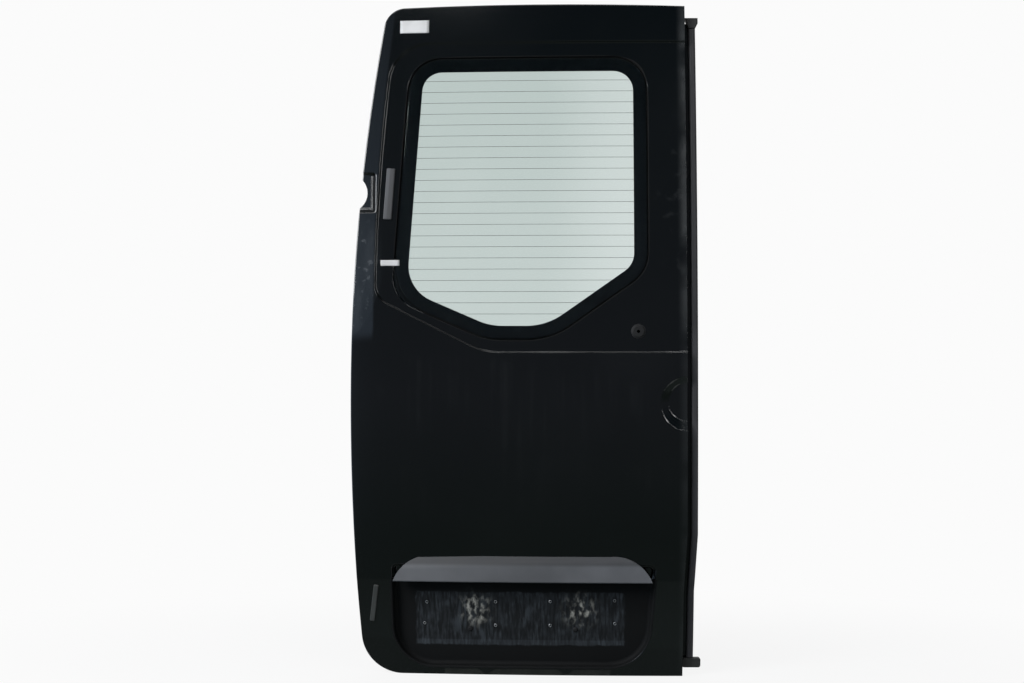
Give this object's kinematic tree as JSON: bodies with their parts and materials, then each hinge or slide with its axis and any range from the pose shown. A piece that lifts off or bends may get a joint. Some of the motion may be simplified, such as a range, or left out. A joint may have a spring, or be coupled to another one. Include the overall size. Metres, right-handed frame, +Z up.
{
  "type": "campervan rear barn door leaf",
  "caption": "Left rear barn door leaf of a campervan: bowed glossy black skin, bonded heated window, plate recess under a lamp trim, centre seal, hinge plates.",
  "frame": {"origin": "centre of the upper hinge plate's flat face, on the hinge side of the leaf", "axes": "+X from the hinge side to the closing edge, -Y out of the outer face, +Z up"},
  "size_m": [0.881, 0.1985, 1.697],
  "materials": {
    "body_paint": "gloss",
    "window_glass": "gloss",
    "bond": "matte",
    "seal_rubber": "matte",
    "plug_rubber": "matte",
    "trim_grey": "matte",
    "lamp_lens": "gloss",
    "lining_fibre": "matte",
    "terminal_brass": "satin",
    "plated_steel": "satin",
    "black_plastic": "matte"
  },
  "bodies": {
    "root": {"outer_skin": "body_paint", "inner_panel": "body_paint", "waist_beam": "body_paint", "seal_carrier": "body_paint", "upper_hinge_plate": "body_paint", "lower_hinge_plate": "body_paint", "window_glass": "window_glass", "window_bond_bead": "bond", "centre_seal": "seal_rubber", "seal_top_cap": "seal_rubber", "seal_foot": "seal_rubber", "upper_bump_stop": "seal_rubber", "lower_bump_stop": "seal_rubber", "blanking_plugs": "seal_rubber", "harness_gland": "seal_rubber", "wiper_hole_plug": "plug_rubber", "plate_hole_plugs": "plug_rubber", "plate_lamp_trim": "trim_grey", "upper_stop_pad": "trim_grey", "lower_stop_pad": "trim_grey", "plate_lamp_left": "lamp_lens", "plate_lamp_right": "lamp_lens", "lining_board": "lining_fibre", "heater_terminals": "terminal_brass", "release_bracket": "plated_steel", "upper_latch_rod": "plated_steel", "lower_latch_rod": "plated_steel", "upper_latch": "plated_steel", "lower_latch": "plated_steel", "upper_bolt": "plated_steel", "lower_bolt": "plated_steel", "release_lever": "black_plastic", "rod_guides": "black_plastic"}
  },
  "joints": []
}
